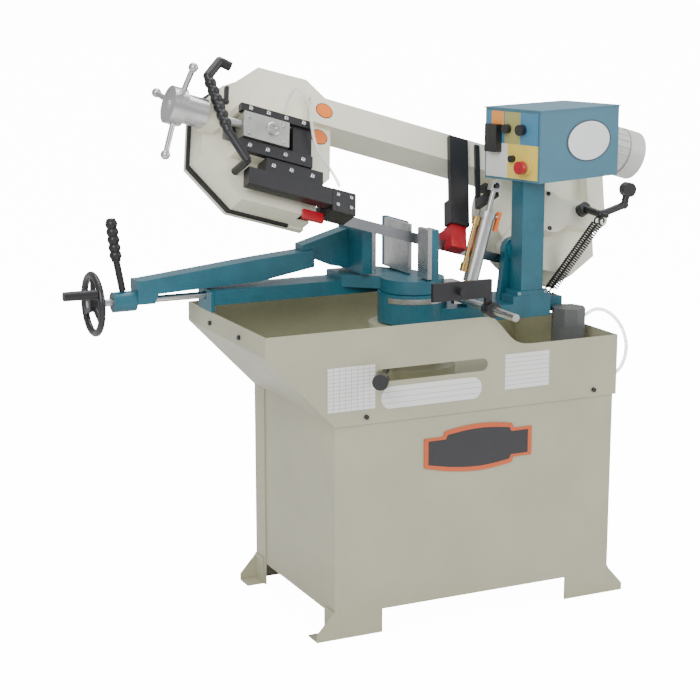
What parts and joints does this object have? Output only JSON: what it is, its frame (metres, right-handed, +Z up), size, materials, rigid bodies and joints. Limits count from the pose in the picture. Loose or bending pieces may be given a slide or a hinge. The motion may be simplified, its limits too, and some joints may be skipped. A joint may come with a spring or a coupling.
{
  "type": "band saw",
  "caption": "Horizontal mitring band saw on a sheet-metal stand, with coolant tray, screw vise, swivelling head, lift cylinder, control box and coolant pump.",
  "frame": {"origin": "on the floor, in the middle of the four floor bolt holes of the stand", "axes": "+X to the operator's right, +Y away from the operator, +Z up"},
  "size_m": [1.7691, 0.6901, 1.4587],
  "materials": {
    "stand_paint": "satin powder coat",
    "head_paint": "satin paint",
    "casting_blue": "painted casting",
    "box_blue": "smooth powder coat",
    "panel_plate": "printed plate, no text",
    "badge_plate": "painted plate, no text",
    "black_steel": "blackened steel",
    "black_plastic": "moulded",
    "red_plastic": "moulded",
    "orange_plastic": "moulded",
    "bright_steel": "machined",
    "blade_steel": "band saw steel",
    "brass": "machined",
    "pump_paint": "satin paint",
    "motor_paint": "painted aluminium",
    "clear_hose": "clear flexible hose",
    "black_rubber": "edge seal",
    "slide_cast": "machined casting"
  },
  "bodies": {
    "base": {"stand_front_panel": "stand_paint", "stand_rear_panel": "stand_paint", "stand_side_panels": "stand_paint", "foot_brackets": "stand_paint", "coolant_tray": "stand_paint", "tray_fittings": "black_steel", "front_badge": "badge_plate", "pedestal": "stand_paint", "vise_bed": "casting_blue", "fixed_jaw": "casting_blue", "fixed_jaw_plates": "bright_steel", "stop_rod": "bright_steel", "coolant_pump": "pump_paint", "pump_hose": "clear_hose"},
    "stop": {"stop_arm": "black_steel"},
    "lock": {"lock_lever": "black_steel"},
    "vise": {"movable_jaw": "casting_blue", "movable_jaw_plate": "bright_steel"},
    "handwheel": {"vise_screw": "bright_steel", "vise_handwheel": "black_steel"},
    "grip": {"handwheel_grip": "black_plastic"},
    "clamp": {"clamp_lever": "black_plastic"},
    "swivel": {"swivel_arm": "casting_blue", "angle_scale": "bright_steel", "pivot_stand": "casting_blue", "control_post": "casting_blue", "control_box": "box_blue", "control_panel": "panel_plate", "main_switch": "black_plastic", "springs": "black_steel"},
    "estop": {"estop_button": "red_plastic"},
    "speed": {"speed_knob": "black_plastic"},
    "mode": {"mode_knob": "black_plastic"},
    "cylinder": {"cylinder_barrel": "bright_steel", "flow_valve": "brass"},
    "rod": {"cylinder_rod": "bright_steel"},
    "valve": {"valve_lever": "orange_plastic"},
    "head": {"bow_frame": "head_paint", "cover_trim": "black_rubber", "drive_cover": "head_paint", "saw_blade": "blade_steel", "slide_gibs": "black_steel", "pull_handle": "black_plastic", "guide_holder": "black_steel", "right_guide_head": "red_plastic", "right_guide_arm": "black_steel", "drive_gearbox": "head_paint", "motor": "motor_paint", "spring_arm": "black_steel", "cylinder_bracket": "black_steel", "head_hose": "clear_hose"},
    "cover": {"wheel_cover": "head_paint"},
    "left_guide": {"guide_bar": "black_steel", "left_guide_head": "black_steel", "left_blade_guard": "red_plastic"},
    "tension_slide": {"tension_slide": "slide_cast"},
    "idler": {"idler_wheel": "slide_cast"},
    "drive": {"drive_wheel": "slide_cast"},
    "tension_knob": {"tension_hub": "bright_steel"},
    "trigger": {"handle_trigger": "black_plastic"}
  },
  "joints": [
    {"name": "stop_slide", "type": "slide", "parent": "base", "child": "stop", "axis": [0, 1, 0], "range_m": [-0.09, 0.14]},
    {"name": "lock_lever_swing", "type": "hinge", "parent": "base", "child": "lock", "pos_m": [-0.131, -0.038, 0.68], "axis": [0, 0, 1], "range_deg": [0, 62]},
    {"name": "vise_slide", "type": "slide", "parent": "base", "child": "vise", "axis": [-1, 0, 0], "range_m": [-0.074, 0.165]},
    {"name": "handwheel_turn", "type": "hinge", "parent": "vise", "child": "handwheel", "pos_m": [-0.9, 0.128, 0.845], "axis": [-1, 0, 0], "range_deg": [-4440, 9900]},
    {"name": "grip_spin", "type": "hinge", "parent": "handwheel", "child": "grip", "pos_m": [-0.95, 0.06391, 0.882], "axis": [1, 0, 0], "continuous": true},
    {"name": "clamp_lever_swing", "type": "hinge", "parent": "vise", "child": "clamp", "pos_m": [-0.822, 0.128, 0.845], "axis": [1, 0, 0], "range_deg": [-40, 40]},
    {"name": "head_swivel", "type": "hinge", "parent": "base", "child": "swivel", "pos_m": [-0.08, -0.038, 0.8], "axis": [0, 0, 1], "range_deg": [0, 45]},
    {"name": "estop_press", "type": "slide", "parent": "swivel", "child": "estop", "axis": [0.9613, 0.2756, 0], "range_m": [0, 0.005], "stiffness_N_per_m": 400},
    {"name": "speed_turn", "type": "hinge", "parent": "swivel", "child": "speed", "pos_m": [0.18425, -0.14296, 1.262], "axis": [-0.9613, -0.2756, 0], "range_deg": [0, 270]},
    {"name": "mode_turn", "type": "hinge", "parent": "swivel", "child": "mode", "pos_m": [0.16992, -0.09297, 1.262], "axis": [-0.9613, -0.2756, 0], "range_deg": [0, 90]},
    {"name": "head_lift", "type": "hinge", "parent": "swivel", "child": "head", "pos_m": [0.212, -0.06, 0.935], "axis": [0, 1, 0], "range_deg": [-16.5, 4], "deforming": ["springs"]},
    {"name": "cylinder_tilt", "type": "hinge", "parent": "swivel", "child": "cylinder", "pos_m": [0.052, -0.1, 0.84], "axis": [0, 1, 0], "range_deg": [-9, 2.5]},
    {"name": "rod_slide", "type": "slide", "parent": "cylinder", "child": "rod", "axis": [0.2696, 0, 0.963], "range_m": [-0.039, 0.0105]},
    {"name": "valve_lever_turn", "type": "hinge", "parent": "cylinder", "child": "valve", "pos_m": [0.14082, -0.1, 1.03113], "axis": [-0.963, 0, 0.2696], "range_deg": [0, 90]},
    {"name": "wheel_cover_hinge", "type": "hinge", "parent": "head", "child": "cover", "pos_m": [-0.38264, 0.20546, 1.37329], "axis": [0.9588, 0, -0.284], "range_deg": [0, 100]},
    {"name": "left_guide_slide", "type": "slide", "parent": "head", "child": "left_guide", "axis": [0.9588, 0, -0.284], "range_m": [0, 0.09]},
    {"name": "idler_slide", "type": "slide", "parent": "head", "child": "tension_slide", "axis": [0.9588, 0, -0.284], "range_m": [0, 0.006]},
    {"name": "tension_knob_turn", "type": "hinge", "parent": "head", "child": "tension_knob", "pos_m": [-0.64282, -0.00396, 1.32236], "axis": [0.9588, 0, -0.284], "range_deg": [0, 1080]},
    {"name": "drive_wheel_spin", "type": "hinge", "parent": "head", "child": "drive", "pos_m": [0.35134, 0.0475, 0.99568], "axis": [0.142, -0.866, 0.4794], "continuous": true},
    {"name": "idler_wheel_spin", "type": "hinge", "parent": "tension_slide", "child": "idler", "pos_m": [-0.479, 0.0475, 1.24164], "axis": [0.142, -0.866, 0.4794], "continuous": true},
    {"name": "trigger_press", "type": "slide", "parent": "head", "child": "trigger", "axis": [-0.9588, 0, 0.284], "range_m": [0, 0.005], "stiffness_N_per_m": 200}
  ],
  "couplings": [
    {"joint": "vise_slide", "follows": "handwheel_turn", "m_per_rad": 0.00095493},
    {"joint": "cylinder_tilt", "follows": "head_lift", "ratio": 0.53},
    {"joint": "rod_slide", "follows": "head_lift", "m_per_rad": 0.134},
    {"joint": "idler_slide", "follows": "tension_knob_turn", "m_per_rad": 0.0003183},
    {"joint": "idler_wheel_spin", "follows": "drive_wheel_spin", "ratio": 1}
  ]
}
